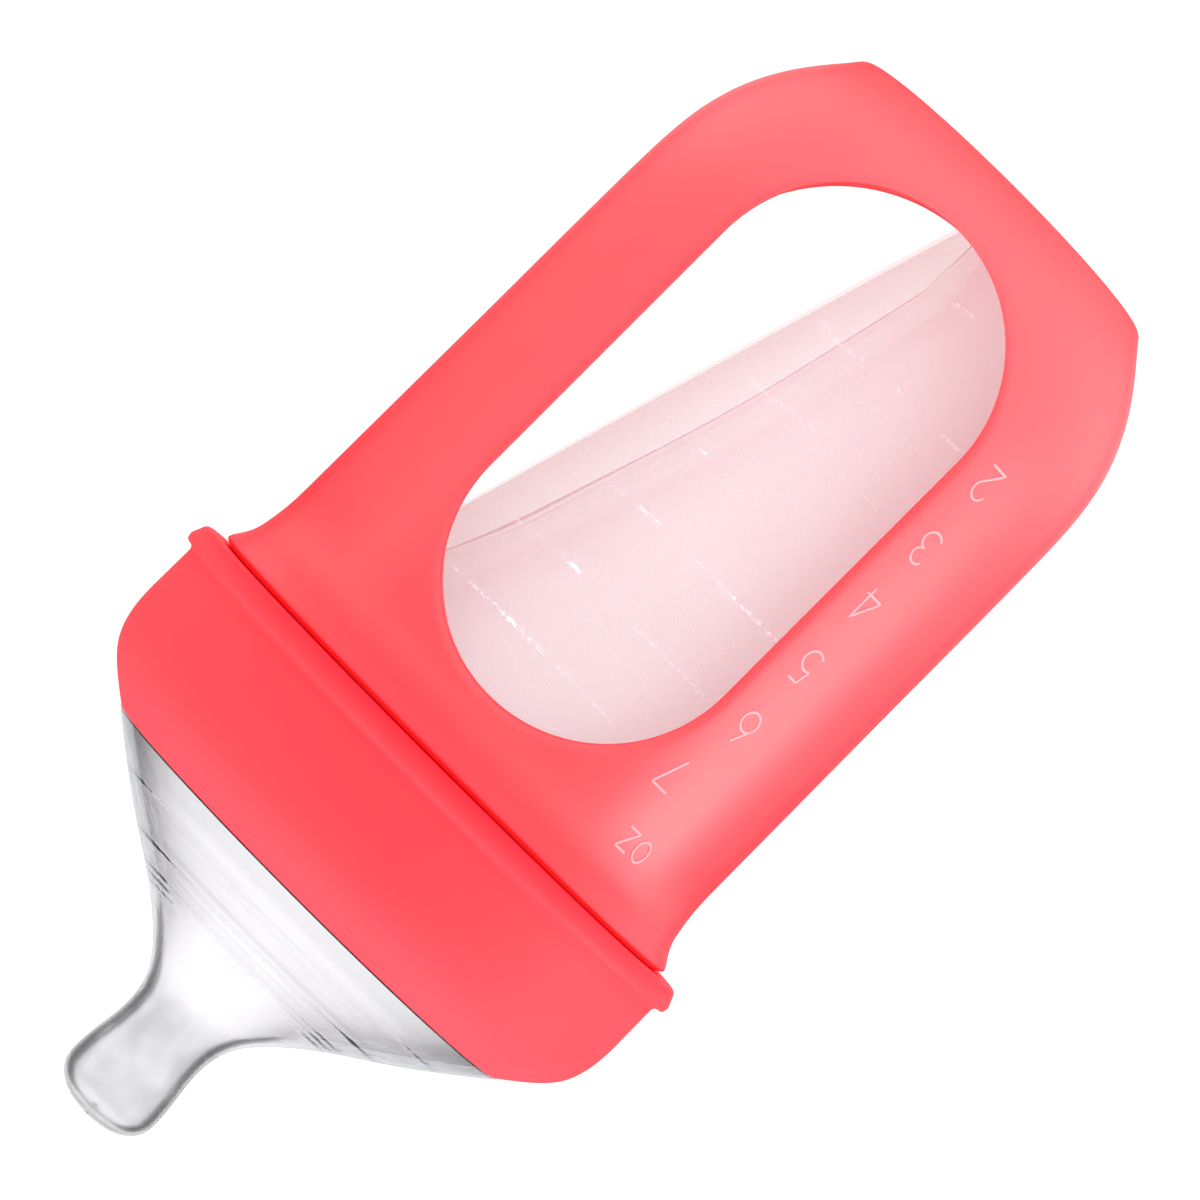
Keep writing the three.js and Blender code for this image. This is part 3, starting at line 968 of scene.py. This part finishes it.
def white_floor():
    """A plain pale floor, lit to white, but dim in reflections and beside the bottle through silicone."""
    mesh = bpy.data.meshes.new("floor")
    half = 3.0
    corners = [(-half, -half, 0), (half, -half, 0), (half, half, 0), (-half, half, 0)]
    mesh.from_pydata(corners, [], [(0, 1, 2, 3)])
    floor = bpy.data.objects.new("floor", mesh)
    bpy.context.scene.collection.objects.link(floor)
    floor.location.z = -0.0002
    material, graph, shader = new_material("floor_white")
    ray = graph.new("ShaderNodeNewGeometry")
    away = graph.new("ShaderNodeVectorMath", operation="LENGTH")
    graph.put(away.inputs[0], ray.outputs["Position"])
    glossy = graph.ranged(graph.faded(away.outputs["Value"], 0.05, 0.25), *FLOOR_GLOSSY)
    steep = graph.faded(graph.axes(ray.outputs["Incoming"])[2], 0.7, 0.85)
    glossy = graph.chosen(steep, glossy, FLOOR_GLOSSY_STEEP)
    level = graph.chosen(graph.ray("Glossy"), FLOOR_LEVEL, glossy)
    level = graph.chosen(through_glass(graph), level, backdrop_level(graph, ray.outputs["Incoming"], -1))
    graph.fill(shader, {
        "Base Color": (0.5, 0.5, 0.5, 1), "Roughness": 0.8,
        "Emission Color": (1, 1, 1, 1), "Emission Strength": level,
    })
    white = graph.new("ShaderNodeEmission")
    graph.fill(white, {"Color": (1, 1, 1, 1), "Strength": WHITE})
    seen = graph.mixed_shader(graph.ray("Camera"), shader.outputs["BSDF"], white.outputs["Emission"])
    graph.output(Surface=seen)
    mesh.materials.append(material)


def level_along(graph, value, levels):
    """Brightness looked up from (position, brightness) pairs, with positions from -1 to 1."""
    ramp = graph.new("ShaderNodeValToRGB")
    ramp.color_ramp.interpolation = "EASE"
    stops = ramp.color_ramp.elements
    while len(stops) < len(levels):
        stops.new(0.5)
    for stop, (position, level) in zip(stops, levels):
        stop.position = (position + 1) / 2
        stop.color = (level, level, level, 1)
    graph.fill(ramp, {"Fac": graph.product(graph.maths("ADD", value, 1.0), 0.5)})
    return ramp.outputs["Color"]


def studio_world():
    """White to the camera, a bright backdrop to clear silicone, dim in reflections and a soft white tent."""
    world = bpy.data.worlds.new("studio")
    bpy.context.scene.world = world
    world.use_nodes = True
    world.node_tree.nodes.clear()
    graph = Graph(world.node_tree)
    direction = graph.new("ShaderNodeTexCoord").outputs["Generated"]
    _, y, z = graph.axes(direction)
    overhead = graph.product(graph.faded(z, 0.4, 1.0), OVERHEAD)
    glossy = graph.maths("ADD", level_along(graph, y, GLOSSY_LEVELS), overhead)
    tent = graph.maths("ADD", graph.product(z, DIFFUSE_RISE), DIFFUSE_LEVEL)
    level = graph.chosen(graph.ray("Glossy"), tent, glossy)
    level = graph.chosen(through_glass(graph), level, backdrop_level(graph, direction, 1))
    level = graph.chosen(graph.ray("Camera"), level, WHITE)
    light = graph.new("ShaderNodeBackground")
    graph.fill(light, {"Color": (1, 1, 1, 1), "Strength": level})
    output = graph.new("ShaderNodeOutputWorld")
    graph.fill(output, {"Surface": light.outputs["Background"]})


def softbox(name, place, target, width, height, power, mirrored=True):
    """A large soft lamp that the camera doesn't see, and that may be kept out of reflections too."""
    lamp = bpy.data.lights.new(name, "AREA")
    lamp.shape = "RECTANGLE"
    lamp.size, lamp.size_y = width, height
    lamp.energy = power
    made = bpy.data.objects.new(name, lamp)
    made.location = place
    made.rotation_euler = (Vector(target) - Vector(place)).to_track_quat("-Z", "Y").to_euler()
    made.visible_camera = False
    made.visible_glossy = mirrored
    made.visible_transmission = mirrored
    bpy.context.scene.collection.objects.link(made)
    return made


def studio_lights(shaded):
    """A key lamp on the left and one overhead, which both miss one piece, and a weak fill on the right."""
    middle = (0, 0, 0.07)
    key = softbox("key_left", (-0.8, -0.02, 0.07), middle, 0.5, 0.8, 8.6)
    softbox("fill_right", (0.8, -0.15, 0.08), middle, 0.35, 0.8, 0.9)
    top = softbox("top", (0.0, -0.2, 0.9), middle, 0.8, 0.6, 14.0, mirrored=False)
    missed = bpy.data.collections.new("missed_by_lamps")
    missed.objects.link(shaded)
    missed.collection_objects[0].light_linking.link_state = "EXCLUDE"
    for lamp in (key, top):
        lamp.light_linking.receiver_collection = missed


def photo_camera():
    """Level with the bottle's middle, rolled so that the nipple points down to the left."""
    distance = 0.85
    aside = math.radians(2.2)
    height = 0.0755
    picture_middle = 0.0694  # the picture is centred lower on the bottle than the lens is
    data = bpy.data.cameras.new("camera")
    data.sensor_width = 36
    data.lens = 208.9
    camera = bpy.data.objects.new("camera", data)
    back = Vector((-math.sin(aside), -math.cos(aside), 0))
    right_level = Vector((math.cos(aside), -math.sin(aside), 0))
    up_level = Vector((0, 0, 1))
    roll = math.radians(135)
    right = math.cos(roll) * right_level - math.sin(roll) * up_level
    up = math.sin(roll) * right_level + math.cos(roll) * up_level
    camera.matrix_world = Matrix((
        (right.x, up.x, back.x, back.x * distance),
        (right.y, up.y, back.y, back.y * distance),
        (right.z, up.z, back.z, height),
        (0, 0, 0, 1),
    ))
    shift = (picture_middle - height) / distance * data.lens / data.sensor_width
    data.shift_x = shift * right.z
    data.shift_y = shift * up.z
    bpy.context.scene.collection.objects.link(camera)
    bpy.context.scene.camera = camera


# Assembly.


def dress(piece, body, node=None):
    """Puts a piece on its body and hides the CAD node it stands for, if one is given."""
    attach(piece, body)
    if node:
        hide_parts(node)


dress(bottle_shell(satin_coral()), "shell", "bottle_shell")
dress(threaded_collar(matt_coral()), "collar", "threaded_collar")
clear_nipple = nipple(clear_silicone())
dress(clear_nipple, "nipple", "nipple")
dress(silicone_pouch(milky_silicone()), "pouch", "silicone_pouch")
for mark in volume_scale(scale_ink()):
    dress(mark, "shell")

white_floor()
studio_world()
studio_lights(clear_nipple)
photo_camera()
bpy.context.scene.view_settings.view_transform = "Standard"
